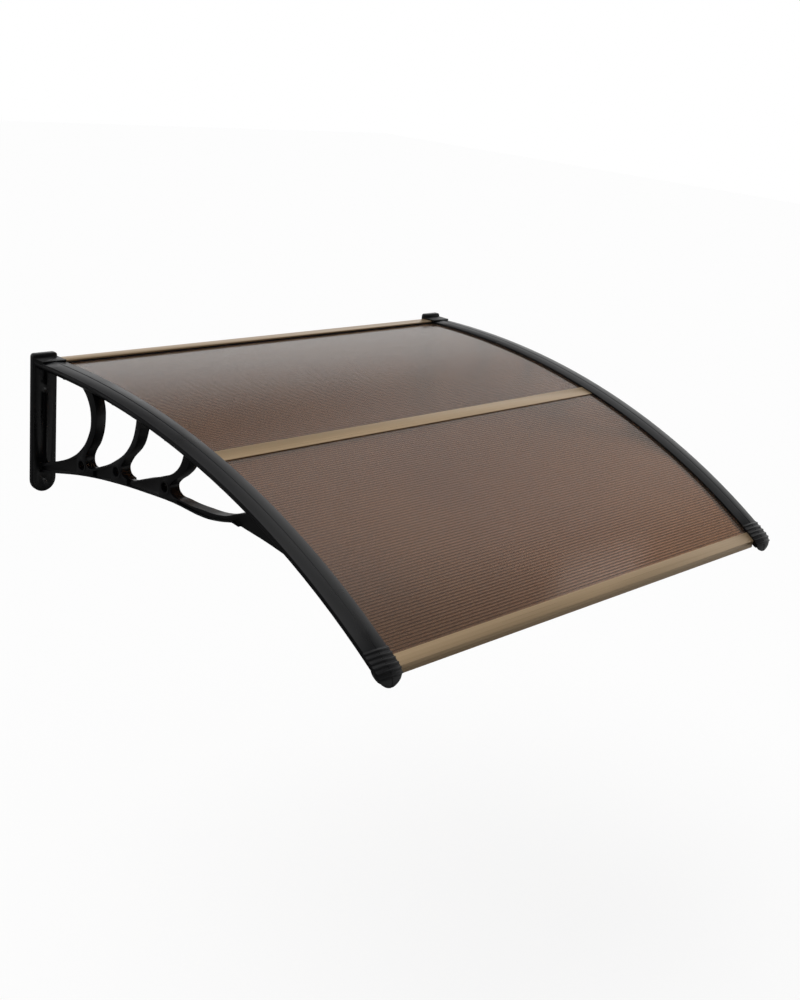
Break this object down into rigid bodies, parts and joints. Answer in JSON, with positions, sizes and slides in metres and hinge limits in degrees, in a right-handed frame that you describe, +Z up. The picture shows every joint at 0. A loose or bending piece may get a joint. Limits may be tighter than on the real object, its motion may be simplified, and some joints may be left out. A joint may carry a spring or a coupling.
{
  "type": "door canopy",
  "caption": "Bowed door canopy: twin-wall bronze sheets between champagne aluminium rails on black scrolled wall brackets.",
  "frame": {"origin": "middle of the wall seal's back face, on the wall line behind the rear rail", "axes": "+X along the canopy's width to its right seen from the front, +Y into the wall, +Z up"},
  "size_m": [1.007, 0.8953, 0.2572],
  "materials": {
    "black_moulding": "satin black moulded ABS",
    "bronze_sheet": "bronze tinted twin-wall polycarbonate",
    "champagne_rail": "champagne anodised extrusion",
    "black_rubber": "black sealing strip",
    "zinc_screw": "zinc plated steel"
  },
  "bodies": {
    "root": {"left_bracket": "black_moulding", "left_cover_strip": "black_moulding", "left_nose_cap": "black_moulding", "left_seat_seal": "black_rubber", "left_cap_screw": "zinc_screw", "left_cover_screw_1": "zinc_screw", "left_cover_screw_2": "zinc_screw", "left_cover_screw_3": "zinc_screw", "left_cover_screw_4": "zinc_screw", "left_cover_screw_5": "zinc_screw", "left_cover_screw_6": "zinc_screw", "left_rear_rail_screw": "zinc_screw", "left_middle_rail_screw": "zinc_screw", "left_front_rail_screw": "zinc_screw", "right_bracket": "black_moulding", "right_cover_strip": "black_moulding", "right_nose_cap": "black_moulding", "right_seat_seal": "black_rubber", "right_cap_screw": "zinc_screw", "right_cover_screw_1": "zinc_screw", "right_cover_screw_2": "zinc_screw", "right_cover_screw_3": "zinc_screw", "right_cover_screw_4": "zinc_screw", "right_cover_screw_5": "zinc_screw", "right_cover_screw_6": "zinc_screw", "right_rear_rail_screw": "zinc_screw", "right_middle_rail_screw": "zinc_screw", "right_front_rail_screw": "zinc_screw", "rear_panel": "bronze_sheet", "front_panel": "bronze_sheet", "rear_rail": "champagne_rail", "middle_rail": "champagne_rail", "front_rail": "champagne_rail", "rear_gasket": "black_rubber", "wall_seal": "black_rubber"}
  },
  "joints": []
}
